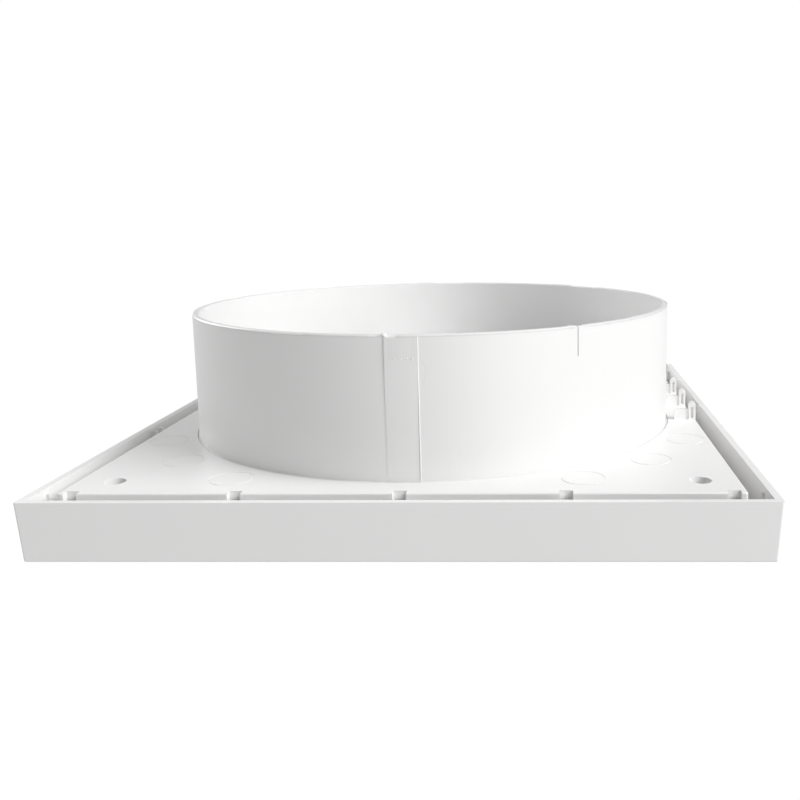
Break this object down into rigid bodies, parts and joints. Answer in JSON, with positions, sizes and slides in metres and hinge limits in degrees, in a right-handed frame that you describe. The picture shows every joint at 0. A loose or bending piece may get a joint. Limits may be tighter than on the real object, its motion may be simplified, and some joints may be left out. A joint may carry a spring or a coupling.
{
  "type": "bathroom extractor fan",
  "caption": "Square flush extractor fan: louvred clip-off cover, wall plate with screw holes, round duct spigot, motor on a four-arm bracket and an axial impeller.",
  "frame": {"origin": "centre of the cover's front face, which the fan lies on", "axes": "+Z from the room towards the duct, along the spigot and the rotor shaft; +X towards the plate edge with the wire comb; +Y across"},
  "size_m": [0.18, 0.18, 0.052],
  "materials": {
    "white_shell": "satin moulded ABS",
    "white_spigot": "satin moulded ABS with a fine matt skin",
    "bracket_nylon": "glass-filled nylon, matt",
    "impeller_plastic": "moulded polypropylene, semi-matt",
    "zinc_steel": "bright zinc plate",
    "motor_steel": "drawn steel, galvanised",
    "lamination_steel": "stacked electrical steel",
    "ground_steel": "ground shaft steel",
    "cast_aluminium": "die cast",
    "copper_wire": "enamelled copper",
    "bobbin_plastic": "natural nylon",
    "sintered_bronze": "oil-filled sintered bronze",
    "felt": "oiled wool felt",
    "grommet_rubber": "soft black rubber",
    "terminal_plastic": "nylon",
    "terminal_brass": "plated brass",
    "fuse_body": "moulded",
    "live_insulation": "brown insulation",
    "neutral_insulation": "blue insulation"
  },
  "bodies": {
    "housing": {"wall_plate": "white_shell", "duct_spigot": "white_spigot", "motor_bracket": "bracket_nylon", "bracket_screws": "zinc_steel", "motor_grommets": "grommet_rubber", "motor_screws": "zinc_steel", "motor_front_shield": "motor_steel", "motor_can": "motor_steel", "stator_core": "lamination_steel", "winding_bobbins": "bobbin_plastic", "stator_coils": "copper_wire", "front_bush": "sintered_bronze", "rear_bush": "sintered_bronze", "oil_felts": "felt", "thermal_fuse": "fuse_body", "terminal_block": "terminal_plastic", "terminal_screws": "terminal_brass", "terminal_fixing_screw": "zinc_steel", "terminal_shroud": "white_shell", "cable_grommet": "grommet_rubber", "cable_clamp": "terminal_plastic", "cable_clamp_screws": "zinc_steel", "motor_lead_live": "live_insulation", "motor_lead_neutral": "neutral_insulation"},
    "rotor": {"rotor_shaft": "ground_steel", "rotor_core": "lamination_steel", "rotor_cage": "cast_aluminium", "thrust_washers": "bobbin_plastic", "impeller": "impeller_plastic", "impeller_clip": "zinc_steel"},
    "cover": {"cover_frame": "white_shell", "louvre_grille": "white_shell"}
  },
  "joints": [
    {"name": "rotor_spin", "type": "hinge", "parent": "housing", "child": "rotor", "pos_m": [0, 0, 0.02], "axis": [0, 0, 1], "continuous": true},
    {"name": "cover_slide", "type": "slide", "parent": "housing", "child": "cover", "axis": [0, 0, -1], "range_m": [0, 0.04]}
  ]
}
